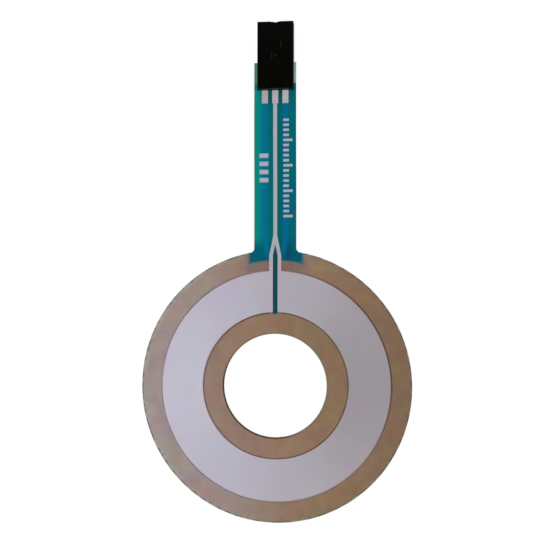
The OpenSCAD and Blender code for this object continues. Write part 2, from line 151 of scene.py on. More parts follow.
def carbon_ink(tree, place):
    """Matt carbon with brims of painted shade, the shade of the air gaps, at its inner and its outer edge.

    The share of carbon grows from 0 at each edge to 1 a feather's width inside it, and the painted
    shade in the brims goes from light at the left to dark at the right. The grain is drawn coarser than
    real carbon, so that it shows.
    """
    inner_mm, outer_mm, feather_mm, grain_mm = 17.65, 28.6, 1.2, 0.15
    to_right = (0.93, 0.37, 0)
    radius = from_axis(tree, place)
    off_inner = add(tree, "MapRange", {
        "Value": radius, "From Min": inner_mm, "From Max": inner_mm + feather_mm})
    off_outer = add(tree, "MapRange", {
        "Value": radius, "From Min": outer_mm, "From Max": outer_mm - feather_mm})
    carbon = add(tree, "Math", {0: off_inner, 1: off_outer}, operation="MULTIPLY")
    grain = add(tree, "TexNoise", {"Vector": place, "Scale": 1 / grain_mm, "Detail": 2.0})
    body = add(tree, "ValToRGB", {"Fac": grain}, stops=[(0.3, "#2B2A2B"), (0.7, "#3A3839")])
    side = round_axis(tree, place, to_right)
    # Painted shade of the air gaps: light at the left, dark at the right.
    inner_gap_shade = add(tree, "ValToRGB", {"Fac": side}, stops=[
        (0, "#84736F"), (0.32, "#7C6A62"), (0.7, "#241B15"), (1, "#241B15")])
    outer_gap_shade = add(tree, "ValToRGB", {"Fac": side}, stops=[
        (0.1, "#F6E8EE"), (0.32, "#CBB5BB"), (0.7, "#AE998F"), (0.96, "#6E564A")])
    outer_half = add(tree, "Math", {0: radius, 1: (inner_mm + outer_mm) / 2}, operation="GREATER_THAN")
    gap_shade = add(tree, "Mix", {0: outer_half, 6: inner_gap_shade, 7: outer_gap_shade}, out=2, data_type="RGBA")
    colour = add(tree, "Mix", {0: carbon, 6: gap_shade, 7: body}, out=2, data_type="RGBA")
    return add(tree, "BsdfPrincipled", {"Base Color": colour, "Roughness": 0.75})


dress(["resistive_track"], material("carbon_ink", carbon_ink))


# Spacer tape: tan adhesive tape with a fibrous carrier, die-cut as an outer and an inner band.
# The film above is stuck to it, and together they give the ring its two tan borders. Where the die cut
# through, glue has crept out and greyed the edge.
def patchy(tree, place, tone, patch_mm, share):
    """The tone times a factor near 1 that changes from patch to patch, each colour channel by itself."""
    patches = add(tree, "TexNoise", {"Vector": place, "Scale": 1 / patch_mm, "Detail": 1.0}, out="Color")
    factor = add(tree, "VectorMath", {0: patches, 1: (share,) * 3, 2: (1 - share / 2,) * 3},
                 operation="MULTIPLY_ADD")
    return add(tree, "VectorMath", {0: tone, 1: factor}, operation="MULTIPLY")


def tinted(tree, tone, share, tint):
    """The tone times a factor that goes from white, which is no tint, to the tint as share goes to 1."""
    factor = add(tree, "Mix", {0: share, 6: (1, 1, 1, 1), 7: tint}, out=2, data_type="RGBA")
    return add(tree, "VectorMath", {0: tone, 1: factor}, operation="MULTIPLY")


def tape_tone(tree, place, tones, reach_mm, towards):
    """Tan by stops from -reach_mm to reach_mm along towards, which carry painted light, in patches, with
    fibres and glue clouds.

    The fibres are drawn wider than real ones, so that they show. Over them lie scattered pale specks,
    full within speck_core_mm of their middle and gone at speck_mm.
    """
    fibre_mm, fibre_share, patch_mm, patch_share = 0.4, 0.07, 4.0, 0.3
    clouds_per_patch, cloud_share = 1.5, 0.14
    speck_gap_mm, speck_mm, speck_core_mm = 7.0, 0.17, 0.085
    side = add(tree, "VectorMath", {0: place, 1: towards}, out="Value", operation="DOT_PRODUCT")
    side = add(tree, "MapRange", {"Value": side, "From Min": -reach_mm, "From Max": reach_mm})
    tone = add(tree, "ValToRGB", {"Fac": side}, stops=tones)
    fibres = add(tree, "TexNoise", {"Vector": place, "Scale": 1 / fibre_mm, "Detail": 3.0})
    level = add(tree, "MapRange", {"Value": fibres, "To Min": 1 - fibre_share, "To Max": 1 + fibre_share})
    clouds = add(tree, "TexNoise", {"Vector": place, "Scale": clouds_per_patch / patch_mm, "Detail": 2.0})
    clouds = add(tree, "MapRange", {"Value": clouds, "To Min": 1 - cloud_share, "To Max": 1 + cloud_share})
    level = add(tree, "Math", {0: level, 1: clouds}, operation="MULTIPLY")
    tone = patchy(tree, place, tone, patch_mm, patch_share)
    tone = add(tree, "VectorMath", {0: tone, "Scale": level}, operation="SCALE")
    from_speck = add(tree, "TexVoronoi", {"Vector": place, "Scale": 1 / speck_gap_mm}, out="Distance")
    speck = add(tree, "MapRange", {"Value": from_speck, "From Min": speck_mm / speck_gap_mm,
                                   "From Max": speck_core_mm / speck_gap_mm})
    return add(tree, "Mix", {0: speck, 6: tone, 7: linear("#D2CCC2")}, out=2, data_type="RGBA")


def outer_tape(tree, place):
    """The wide band: darker and bluer under the foot, bluer right of it and beside the silver.

    Pale glue frays its left part near the rim. The cut is a line of dashes round the rim, light where
    the edge is whole and dark where it is chipped.
    """
    reach_mm, to_right = 31, (0.99, 0.1, 0)
    foot_x, foot_y, foot_blur_mm = 7.5, 28.5, 1
    blue_rise_mm, blue_mm, blue_end_mm = 3, 3, 9
    silver_mm, silver_blur_mm = 28.3, 1
    rim_mm, cut_mm, creep_mm, fray_mm = 33.1, 0.09, 0.45, 1.35
    chip_mm, chipped, whole, chip_dark, chip_light = 1.1, 0.42, 0.58, 0.3, 1.1
    fray_whole, fray_share, fray_start, fray_full = 0.6, 0.5, 0.45, 0.1
    # Painted light: the stops make the band lighter and greyer to the left, as if lit from that side.
    tone = tape_tone(tree, place, [
        (0, "#9F8F8C"), (0.12, "#9D8D88"), (0.3, "#99887D"), (0.5, "#8F7560"), (0.7, "#8B7258"),
        (0.88, "#866C56"), (1, "#816852")], reach_mm, to_right)
    split = add(tree, "SeparateXYZ", {"Vector": place}).node
    x, y = split.outputs["X"], split.outputs["Y"]
    size_x = add(tree, "Math", {0: x}, operation="ABSOLUTE")
    foot_wide = add(tree, "MapRange", {
        "Value": size_x, "From Min": foot_x + foot_blur_mm, "From Max": foot_x - foot_blur_mm})
    foot_high = add(tree, "MapRange", {"Value": y, "From Min": foot_y - foot_blur_mm, "From Max": foot_y})
    foot = add(tree, "Math", {0: foot_wide, 1: foot_high}, operation="MULTIPLY")
    tone = tinted(tree, tone, foot, (0.78, 0.82, 0.95, 1))
    right = add(tree, "MapRange", {"Value": x, "From Min": foot_x - blue_rise_mm, "From Max": foot_x})
    not_far = add(tree, "MapRange", {
        "Value": x, "From Min": foot_x + blue_end_mm, "From Max": foot_x + blue_mm})
    right = add(tree, "Math", {0: right, 1: not_far}, operation="MULTIPLY")
    right = add(tree, "Math", {0: right, 1: foot_high}, operation="MULTIPLY")
    tone = tinted(tree, tone, right, (1.05, 1.12, 1.3, 1))
    side = add(tree, "MapRange", {"Value": x, "From Min": -rim_mm, "From Max": rim_mm})
    cut = add(tree, "ValToRGB", {"Fac": side}, stops=[(0, "#8F918D"), (0.5, "#898E7C"), (1, "#76706A")])
    chips = add(tree, "TexNoise", {"Vector": place, "Scale": 1 / chip_mm, "Detail": 1.0})
    dashes = add(tree, "MapRange", {"Value": chips, "From Min": chipped, "From Max": whole,
                                    "To Min": chip_dark, "To Max": chip_light})
    cut = add(tree, "VectorMath", {0: cut, "Scale": dashes}, operation="SCALE")
    radius = from_axis(tree, place)
    frayed = add(tree, "MapRange", {
        "Value": radius, "From Min": rim_mm - fray_mm, "From Max": rim_mm - creep_mm})
    pale = add(tree, "MapRange", {
        "Value": chips, "From Min": chipped, "From Max": fray_whole, "To Max": fray_share})
    frayed = add(tree, "Math", {0: frayed, 1: pale}, operation="MULTIPLY")
    left = add(tree, "MapRange", {"Value": side, "From Min": fray_start, "From Max": fray_full})
    frayed = add(tree, "Math", {0: frayed, 1: left}, operation="MULTIPLY")
    tone = add(tree, "Mix", {0: frayed, 6: tone, 7: linear("#A9AAA4")}, out=2, data_type="RGBA")
    by_silver = add(tree, "MapRange", {
        "Value": radius, "From Min": silver_mm + silver_blur_mm, "From Max": silver_mm})
    tone = tinted(tree, tone, by_silver, (0.95, 0.99, 1.1, 1))
    at_cut = add(tree, "MapRange", {
        "Value": radius, "From Min": rim_mm - creep_mm, "From Max": rim_mm - cut_mm})
    tone = add(tree, "Mix", {0: at_cut, 6: tone, 7: cut}, out=2, data_type="RGBA")
    return add(tree, "BsdfPrincipled", {"Base Color": tone, "Roughness": 0.6, "Specular IOR Level": 0.0})


def inner_tape(tree, place):
    """The narrow band: a line of glue round the hole, and a line of painted shade at the right of the air
    gap.

    Painted shadow darkens the line round the hole, most at the lower left.
    """
    reach_mm, to_right, to_lower_left = 15, (0.95, 0.3, 0), (-0.75, -0.66, 0)
    hole_mm, line_mm, line_core_mm = 12.6, 0.5, 0.1
    gap_mm, gap_line_mm, to_gap_line = 17.7, 0.2, (0.95, -0.3, 0)
    gap_line_start, gap_line_full, gap_line_share = 0.6, 0.9, 0.45
    # Painted light: the stops make the band lighter to the left, as if lit from that side.
    tone = tape_tone(tree, place, [
        (0, "#937B70"), (0.25, "#927666"), (0.5, "#927562"), (0.75, "#8A705A"), (1, "#896F58")],
        reach_mm, to_right)
    side = round_axis(tree, place, to_lower_left)
    # Painted shadow: the line round the hole turns near black towards the lower left.
    glue = add(tree, "ValToRGB", {"Fac": side}, stops=[
        (0.1, "#756E5A"), (0.45, "#6B6752"), (0.58, "#756E5A"), (0.8, "#100F0A")])
    radius = from_axis(tree, place)
    at_hole = add(tree, "MapRange", {
        "Value": radius, "From Min": hole_mm + line_mm, "From Max": hole_mm + line_core_mm})
    tone = add(tree, "Mix", {0: at_hole, 6: tone, 7: glue}, out=2, data_type="RGBA")
    # Painted shade of the air gap, on its right side only.
    right = add(tree, "MapRange", {
        "Value": round_axis(tree, place, to_gap_line), "From Min": gap_line_start,
        "From Max": gap_line_full, "To Max": gap_line_share})
    at_gap = add(tree, "MapRange", {"Value": radius, "From Min": gap_mm - gap_line_mm, "From Max": gap_mm})
    dark = add(tree, "Math", {0: right, 1: at_gap}, operation="MULTIPLY")
    tone = add(tree, "Mix", {0: dark, 6: tone, 7: linear("#2A211B")}, out=2, data_type="RGBA")
    return add(tree, "BsdfPrincipled", {"Base Color": tone, "Roughness": 0.6, "Specular IOR Level": 0.0})


dress(["outer_spacer"], material("tan_tape_outer", outer_tape))
dress(["inner_spacer"], material("tan_tape_inner", inner_tape))


# Silver prints: flake silver in a resin, screen-printed on the underside of the front film and fired dry.
# The collector ring, legs, trace and pads are one pass; the leads, terminals and dots are later ones.
# Real flakes are too fine to show in the render, so they are drawn flake_mm wide.
flake_mm = 0.13
pads_y, pads_blur_mm, cover_y = 69, 0.5, 72.3


def silver_ink(tree, place):
    """Lilac-grey silver, brighter to the left by painted light, warm at the ring's thin edges, with flake
    and clouds.

    The legs and the trace are a cooler grey. The pads brighten towards the cover, against its shadow.
    """
    flake_share, cloud_mm, cloud_share, roughness, rough_share = 0.05, 4.0, 0.12, 0.5, 0.08
    ring_in_mm, ring_out_mm, thin_mm = 17.9, 28.0, 0.6
    legs_y, legs_blur_mm = 27, 6
    pads_half_mm, pad_dull, pad_bright = 3.3, 0.81, 1.25
    split = add(tree, "SeparateXYZ", {"Vector": place}).node
    x, y = split.outputs["X"], split.outputs["Y"]
    # Painted light: the tone is brighter on the ring's left, as if lit from that side.
    tone = add(tree, "ValToRGB", {"Fac": round_axis(tree, place, (1, 0, 0))}, stops=[
        (0, "#C9C6D5"), (0.15, "#C3BECE"), (0.3, "#BEBAC9"), (0.5, "#B8B3BE"), (0.7, "#B2ADB6"),
        (0.85, "#ABA4AB"), (1, "#A39DA3")])
    radius = from_axis(tree, place)
    inner_edge = add(tree, "MapRange", {
        "Value": radius, "From Min": ring_in_mm + thin_mm, "From Max": ring_in_mm})
    outer_edge = add(tree, "MapRange", {
        "Value": radius, "From Min": ring_out_mm - thin_mm, "From Max": ring_out_mm})
    thin = add(tree, "Math", {0: inner_edge, 1: outer_edge}, operation="MAXIMUM")
    tone = tinted(tree, tone, thin, (1.08, 0.95, 0.87, 1))
    on_legs = add(tree, "MapRange", {"Value": y, "From Min": legs_y, "From Max": legs_y + legs_blur_mm})
    tone = add(tree, "Mix", {0: on_legs, 6: tone, 7: linear("#AFB3BB")}, out=2, data_type="RGBA")
    across = add(tree, "MapRange", {"Value": x, "From Min": -pads_half_mm, "From Max": pads_half_mm})
    pads = add(tree, "ValToRGB", {"Fac": across}, stops=[(0, "#C0BBBD"), (1, "#C8C8D0")])
    towards_cover = add(tree, "MapRange", {
        "Value": y, "From Min": pads_y + pads_blur_mm, "From Max": cover_y, "To Min": pad_dull,
        "To Max": pad_bright})
    pads = add(tree, "VectorMath", {0: pads, "Scale": towards_cover}, operation="SCALE")
    on_pads = add(tree, "MapRange", {"Value": y, "From Min": pads_y, "From Max": pads_y + pads_blur_mm})
    tone = add(tree, "Mix", {0: on_pads, 6: tone, 7: pads}, out=2, data_type="RGBA")
    flake = add(tree, "TexNoise", {"Vector": place, "Scale": 1 / flake_mm, "Detail": 2.0})
    level = add(tree, "MapRange", {"Value": flake, "To Min": 1 - flake_share, "To Max": 1 + flake_share})
    tone = patchy(tree, place, tone, cloud_mm, cloud_share)
    colour = add(tree, "VectorMath", {0: tone, "Scale": level}, operation="SCALE")
    rough = add(tree, "MapRange", {
        "Value": flake, "To Min": roughness - rough_share, "To Max": roughness + rough_share})
    return add(tree, "BsdfPrincipled", {
        "Base Color": colour, "Metallic": 0.2, "Roughness": rough, "Specular IOR Level": 0.0})


def gap_shaded_terminal_ink(tree, place):
    """Silver of the terminals, printed over the carbon's ends, with the same fine flake.

    Its mauve brown is painted shade of the air gap that it is seen through.
    """
    flake = add(tree, "TexNoise", {"Vector": place, "Scale": 1 / flake_mm, "Detail": 2.0})
    colour = add(tree, "ValToRGB", {"Fac": flake}, stops=[(0.3, "#83696F"), (0.7, "#91777D")])
    return add(tree, "BsdfPrincipled", {"Base Color": colour, "Roughness": 0.5, "Specular IOR Level": 0.0})


silver = material("screen_printed_silver", silver_ink)
dress(["collector_print", "left_pad", "right_pad", "left_lead", "right_lead", "left_bridge",
       "right_bridge"], silver)
dress(["left_terminal", "right_terminal"], material("silver_in_gap_shade", gap_shaded_terminal_ink))


# Insulating coats: teal ultraviolet-cured ink, two passes over the tail and its foot.
# The outer leads lie between the passes and show through the first as two blue bands, and the first
# pass runs on alone to the film's end, where it is thin and pale.
def over_leads(tree, size_x, y):
    """1 over a lead and 0 beside it, by the distance of size_x from the lead's centre line at this y.

    The centre line leans out by lean_mm above the foot and then runs straight, lead_x from the middle.
    The band fades in above lead_y.
    """
    lead_x, lead_core_mm, lead_edge_mm, lead_y, lead_fade_mm = 2.54, 0.2, 0.95, 30.0, 3.3
    lean_mm, lean_y, lean_end_y = 0.6, 31, 36.5
    centre = add(tree, "MapRange", {"Value": y, "From Min": lean_y, "From Max": lean_end_y,
                                    "To Min": lead_x - lean_mm, "To Max": lead_x},
                 interpolation_type="SMOOTHSTEP")
    off_lead = add(tree, "Math", {0: size_x, 1: centre}, operation="SUBTRACT")
    off_lead = add(tree, "Math", {0: off_lead}, operation="ABSOLUTE")
    on_lead = add(tree, "MapRange", {"Value": off_lead, "From Min": lead_edge_mm,
                                     "From Max": lead_core_mm}, interpolation_type="SMOOTHSTEP")
    above = add(tree, "MapRange", {"Value": y, "From Min": lead_y, "From Max": lead_y + lead_fade_mm})
    return add(tree, "Math", {0: on_lead, 1: above}, operation="MULTIPLY")


def against_shadow(tree, y):
    """Level of the coat against the cover's shadow: it rises to lift beside it and is 1 again under it."""
    lift, rise_mm, fall_mm, fall_end_mm = 1.2, 2.5, 0.4, 0.8
    rise = add(tree, "MapRange", {"Value": y, "From Min": cover_y - rise_mm, "From Max": cover_y,
                                  "To Min": 1, "To Max": lift})
    fall = add(tree, "MapRange", {"Value": y, "From Min": cover_y + fall_mm,
                                  "From Max": cover_y + fall_end_mm, "To Min": 1, "To Max": 1 / lift})
    return add(tree, "Math", {0: rise, 1: fall}, operation="MULTIPLY")


def teal_ink(tree, place):
    """Tone across the tail, blue bands over the leads, a darker foot and slit, and a pale end.

    The coat is greener and lighter at the tail's left edge by painted light, and the slit's strip
    darkens to its sides with painted shade. Between the pads the coat is greener. The second coat ends
    from thin_y to single_y, and past it the first one is pale, lighter on the right by painted light
    against the connector's shadow. The grain is drawn coarser than real pigment, so that it shows.
    """
    half_tail_mm, foot_y, foot_full_y, thin_y, single_y = 5.2, 37, 33, 74.25, 74.5
    strip_mm, strip_blur_mm, strip_y, strip_full_y = 0.58, 0.1, 34.6, 34
    pad_gap_mm, pad_gap_core_mm, grain_mm, grain_share = 2.2, 1.9, 0.2, 0.08
    split = add(tree, "SeparateXYZ", {"Vector": place}).node
    x, y = split.outputs["X"], split.outputs["Y"]
    across = add(tree, "MapRange", {"Value": x, "From Min": -half_tail_mm, "From Max": half_tail_mm})
    # Painted light: the stops at the left edge are greener and lighter, as if lit from that side.
    coat = add(tree, "ValToRGB", {"Fac": across}, stops=[
        (0, "#1A8473"), (0.09, "#06837F"), (0.18, "#03797F"), (0.36, "#02676E"), (0.42, "#08646F"),
        (0.59, "#095D63"), (0.64, "#06606A"), (0.86, "#03626E"), (1, "#07636F")])
    bands = add(tree, "ValToRGB", {"Fac": across}, stops=[(0, "#026D94"), (1, "#036389")])
    foot = add(tree, "ValToRGB", {"Fac": across}, stops=[
        (0, "#035A6C"), (0.55, "#035A6C"), (0.68, "#064C66"), (0.85, "#064C66"), (0.95, "#02586C")])
    # Painted light: the pale end's right stop is lighter, against the connector's shadow.
    bare = add(tree, "ValToRGB", {"Fac": across}, stops=[(0, "#4D9368"), (1, "#ACC4C6")])
    size_x = add(tree, "Math", {0: x}, operation="ABSOLUTE")
    in_foot = add(tree, "MapRange", {"Value": y, "From Min": foot_y, "From Max": foot_full_y},
                  interpolation_type="SMOOTHSTEP")
    tone = add(tree, "Mix", {0: in_foot, 6: coat, 7: foot}, out=2, data_type="RGBA")
    tone = add(tree, "Mix", {0: over_leads(tree, size_x, y), 6: tone, 7: bands}, out=2, data_type="RGBA")
    strip_wide = add(tree, "MapRange", {
        "Value": size_x, "From Min": strip_mm + strip_blur_mm, "From Max": strip_mm})
    strip_high = add(tree, "MapRange", {"Value": y, "From Min": strip_y, "From Max": strip_full_y})
    in_slit = add(tree, "Math", {0: strip_wide, 1: strip_high}, operation="MULTIPLY")
    # Painted shade: the strip darkens towards its sides.
    from_middle = add(tree, "MapRange", {"Value": size_x, "From Max": strip_mm})
    strip = add(tree, "ValToRGB", {"Fac": from_middle}, stops=[(0.3, "#184A59"), (0.85, "#0E303C")])
    tone = add(tree, "Mix", {0: in_slit, 6: tone, 7: strip}, out=2, data_type="RGBA")
    gap_wide = add(tree, "MapRange", {
        "Value": size_x, "From Min": pad_gap_mm, "From Max": pad_gap_core_mm})
    gap_high = add(tree, "MapRange", {"Value": y, "From Min": pads_y, "From Max": pads_y + pads_blur_mm})
    in_gap = add(tree, "Math", {0: gap_wide, 1: gap_high}, operation="MULTIPLY")
    tone = add(tree, "Mix", {0: in_gap, 6: tone, 7: linear("#0A5756")}, out=2, data_type="RGBA")
    single = add(tree, "MapRange", {"Value": y, "From Min": thin_y, "From Max": single_y})
    tone = add(tree, "Mix", {0: single, 6: tone, 7: bare}, out=2, data_type="RGBA")
    grain = add(tree, "TexNoise", {"Vector": place, "Scale": 1 / grain_mm, "Detail": 2.0})
    level = add(tree, "MapRange", {"Value": grain, "To Min": 1 - grain_share, "To Max": 1 + grain_share})
    level = add(tree, "Math", {0: level, 1: against_shadow(tree, y)}, operation="MULTIPLY")
    colour = add(tree, "VectorMath", {0: tone, "Scale": level}, operation="SCALE")
    return add(tree, "BsdfPrincipled", {"Base Color": colour, "Roughness": 0.5, "Specular IOR Level": 0.0})


def plain_teal(tree, place):
    """The back of the second coat: even teal, faintly mottled and dimpled by the printing screen's mesh.

    The mesh is drawn coarser than a real one, so that it shows.
    """
    mesh_mm, dimple_mm = 0.25, 0.01
    dimples = add(tree, "TexNoise", {"Vector": place, "Scale": 1 / mesh_mm, "Detail": 2.0})
    colour = add(tree, "ValToRGB", {"Fac": dimples}, stops=[(0.3, "#045F66"), (0.7, "#056C73")])
    relief = add(tree, "Bump", {"Height": dimples, "Strength": 0.3, "Distance": dimple_mm * MM})
    return add(tree, "BsdfPrincipled", {"Base Color": colour, "Roughness": 0.4, "Normal": relief})


dress(["first_dielectric"], material("teal_first_coat", teal_ink))
dress(["second_dielectric"], material("teal_second_coat", plain_teal))


# Printed marks: plain bars of the same silver, a short row left of the trace and a scale right of it.
# They are printed first, straight on the film, so they lie on top of the teal coat as seen from the
# front. The film's underside is lifted by film_lift in its own section, so that they have room.
ink_lift, ink_step, film_lift = 0.004 * MM, 0.008 * MM, 0.02 * MM
same_spot, facing_down = 0.0001 * MM, -0.5
film_mesh = nodes["front_film"].data
corners = np.empty(len(film_mesh.vertices) * 3)
film_mesh.vertices.foreach_get("co", corners)
corners = corners.reshape(-1, 3)
facing = np.empty(len(film_mesh.polygons) * 3)
film_mesh.polygons.foreach_get("normal", facing)
down = np.flatnonzero(facing.reshape(-1, 3)[:, 2] < facing_down)
underside = np.unique([film_mesh.polygons[i].vertices for i in down])
along_tail = underside[np.argsort(corners[underside, 1])]
# The film's triangles are loose, so a corner is there once for each of them. All of those on the
# underside's spots are moved together, so that its walls stay closed.
_, spot = np.unique(np.round(corners / same_spot), axis=0, return_inverse=True)
lower_rim = np.flatnonzero(np.isin(spot, spot[underside]))


def under_film(y):
    """Height of the film's underside at y, read along the film's own lower surface."""
    return np.interp(y, corners[along_tail, 1], corners[along_tail, 2])


def printed(name, strips, ink):
    """Thin closed strips of ink that follow the film's underside, each from a left edge to a right edge.

    Both edges have n points of x and y in metres, and left means left of their direction. Rows a and b
    are the two edges, ink_lift above the film's own underside. Rows c and d are the same edges one
    ink_step higher, and quads between neighbouring points of two rows make the faces.
    """
    points, faces, first = [], [], 0
    for left, right in strips:
        n = len(left)
        plan = np.vstack([left, right, left, right])
        height = under_film(plan[:, 1]) + ink_lift + ink_step * (np.arange(4 * n) >= 2 * n)
        points.append(np.column_stack([plan, height]))
        a, b, c, d = first + np.arange(4 * n).reshape(4, n)
        for from_row, to_row in ((a, b), (d, c), (b, d), (c, a)):
            faces.append(np.column_stack([from_row[:-1], from_row[1:], to_row[1:], to_row[:-1]]))
        faces.append([[a[0], b[0], d[0], c[0]], [b[-1], a[-1], c[-1], d[-1]]])
        first += 4 * n
    mesh = bpy.data.meshes.new(name)
    mesh.from_pydata(np.vstack(points).tolist(), [], np.vstack(faces).tolist())
    piece = bpy.data.objects.new(name, mesh)
    bpy.context.scene.collection.objects.link(piece)
    mesh.materials.append(ink)
    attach(piece, "root")


def bar(left, right, low, high):
    """The two edges of a straight bar from left to right, its upper and then its lower one, in metres."""
    return [(left, high), (right, high)], [(left, low), (right, low)]


scale_left, scale_short, scale_long, scale_bar = 2.0 * MM, 3.4 * MM, 4.3 * MM, 0.6 * MM
scale_start, scale_pitch, scale_count, long_every = 41.2 * MM, 1.25 * MM, 20, 5
steps = np.arange(scale_count)
scale_y = scale_start + scale_pitch * steps
scale_right = np.where(steps % long_every == 0, scale_long, scale_short)
printed("scale_marks", [bar(scale_left, end, y, y + scale_bar) for end, y in zip(scale_right, scale_y)],
        silver)
row_left, row_right, row_bar = -3.9 * MM, -1.7 * MM, 1.1 * MM
row_start, row_pitch, row_count = 49.9 * MM, 2.0 * MM, 4
row_y = row_start + row_pitch * np.arange(row_count)
printed("row_marks", [bar(row_left, row_right, y, y + row_bar) for y in row_y], silver)


# Feathered edge of the coats: ink that crept past the screen's edge, along the foot's lower edge and
# sides and at the slit's inner end, where it runs over the gap to the tape. It is thin, so the tan
# shows through. Strips on one level are kept seam_mm apart.
coat_mm, foot_edge_mm, foot_thin_mm, foot_rim_mm = 31.06, 30.95, 30.22, 32.95
foot_left_mm, foot_right_mm, side_mm, legs_half_mm, seam_mm = 5.83, 6.2, 0.92, 1.5, 0.01
slit_half_mm, slit_low_mm, slit_full_mm, slit_high_mm = 0.575, 17.3, 17.6, 17.95
arc_points = 12


def crept_ink(tree, place):
    """Teal where it leaves the coat, greyer and then tan towards the foot's lower edge and its sides.

    The thinness is the larger of the way down from the coat and the way out at either side. The strip
    in the slit, which alone lies within between_mm of the middle, has its own, up the slit.
    """
    between_mm = 1.0
    radius = from_axis(tree, place)
    low = add(tree, "MapRange", {"Value": radius, "From Min": coat_mm, "From Max": foot_thin_mm})
    x = add(tree, "SeparateXYZ", {"Vector": place}, out="X")
    size_x = add(tree, "Math", {0: x}, operation="ABSOLUTE")
    left = add(tree, "MapRange", {
        "Value": x, "From Min": -foot_left_mm, "From Max": -foot_left_mm - side_mm})
    right = add(tree, "MapRange", {
        "Value": x, "From Min": foot_right_mm, "From Max": foot_right_mm + side_mm})
    aside = add(tree, "Math", {0: left, 1: right}, operation="MAXIMUM")
    thin = add(tree, "Math", {0: low, 1: aside}, operation="MAXIMUM")
    tone = add(tree, "ValToRGB", {"Fac": thin}, stops=[
        (0, "#045A6C"), (0.39, "#2A5963"), (0.66, "#50676C"), (1, "#78736E")])
    up_slit = add(tree, "MapRange", {"Value": radius, "From Min": slit_low_mm, "From Max": slit_full_mm})
    slit = add(tree, "ValToRGB", {"Fac": up_slit}, stops=[(0, "#7C817C"), (1, "#1B4A58")])
    in_slit = add(tree, "Math", {0: size_x, 1: between_mm}, operation="LESS_THAN")
    tone = add(tree, "Mix", {0: in_slit, 6: tone, 7: slit}, out=2, data_type="RGBA")
    return add(tree, "BsdfPrincipled", {"Base Color": tone, "Roughness": 0.5, "Specular IOR Level": 0.0})


def below_foot(start, end):
    """The two edges of the feather under the foot from x start to x end, on circles about the axis.

    On a circle, y is the root of its radius squared less x squared.
    """
    x = np.linspace(start, end, arc_points)
    return [np.column_stack([x, np.sqrt(reach ** 2 - x ** 2)])
            for reach in (foot_edge_mm * MM, foot_thin_mm * MM)]


def beside_foot(near, far):
    """The two upright edges of the feather beside the foot, at x near and x far.

    Each runs from the circle of the foot's lower edge to the rim's, by the same root.
    """
    reach = np.array([foot_thin_mm, foot_rim_mm]) * MM
    return [np.column_stack([np.full(2, x), np.sqrt(reach ** 2 - x ** 2)]) for x in sorted((near, far))]


feathers = [below_foot(-(foot_left_mm - seam_mm) * MM, -legs_half_mm * MM),
            below_foot(legs_half_mm * MM, (foot_right_mm - seam_mm) * MM),
            beside_foot(-foot_left_mm * MM, -(foot_left_mm + side_mm) * MM),
            beside_foot(foot_right_mm * MM, (foot_right_mm + side_mm) * MM),
            bar(-slit_half_mm * MM, slit_half_mm * MM, slit_low_mm * MM, slit_high_mm * MM)]
printed("coat_feather", feathers, material("crept_teal_ink", crept_ink))


# Front film: clear polyester, printed on its underside and stuck down over the spacer, tail included.
# It adds gloss over everything below, with the faint unevenness of rolled sheet and a frosted cut edge.
def clear_polyester(tree, place):
    """Clear sheet: light passes through or mirrors by Fresnel, and a cut edge is frosted white.

    Only a face that looks up from outside mirrors. The frost grows as a face gets steeper.
    """
    ripple_mm, ripple_rise_mm = 7, 0.03
    level_face, steep_face, frost_share = 0.6, 0.2, 0.7
    ripple = add(tree, "TexNoise", {"Vector": place, "Scale": 1 / ripple_mm, "Detail": 1.0})
    relief = add(tree, "Bump", {"Height": ripple, "Strength": 0.5, "Distance": ripple_rise_mm * MM})
    shine = add(tree, "BsdfGlossy", {"Color": (1, 1, 1, 1), "Roughness": 0.16, "Normal": relief})
    face = add(tree, "NewGeometry").node
    up = add(tree, "SeparateXYZ", {"Vector": face.outputs["Normal"]}, out="Z")
    outside = add(tree, "Math", {0: 1.0, 1: face.outputs["Backfacing"]}, operation="SUBTRACT")
    outside = add(tree, "Math", {0: outside, 1: up}, operation="MULTIPLY", use_clamp=True)
    gloss = add(tree, "Math", {0: add(tree, "Fresnel", {"IOR": 1.58}), 1: outside}, operation="MULTIPLY")
    clear = add(tree, "MixShader", {0: gloss, 1: add(tree, "BsdfTransparent"), 2: shine})
    upright = add(tree, "Math", {0: up}, operation="ABSOLUTE")
    edge = add(tree, "MapRange", {
        "Value": upright, "From Min": level_face, "From Max": steep_face, "To Max": frost_share})
    frost = add(tree, "BsdfPrincipled", {"Base Color": linear("#D9DEDC"), "Roughness": 0.55})
    return add(tree, "MixShader", {0: edge, 1: clear, 2: frost})


film = nodes["front_film"]
dress(["front_film"], material("clear_polyester_film", clear_polyester))
bonded = film.vertex_groups.new(name="bonded_face")
bonded.add(lower_rim.tolist(), 1, "REPLACE")
lift = film.modifiers.new("ink_relief", "DISPLACE")
lift.vertex_group = "bonded_face"
lift.direction = "Z"
lift.mid_level = 0
lift.strength = film_lift


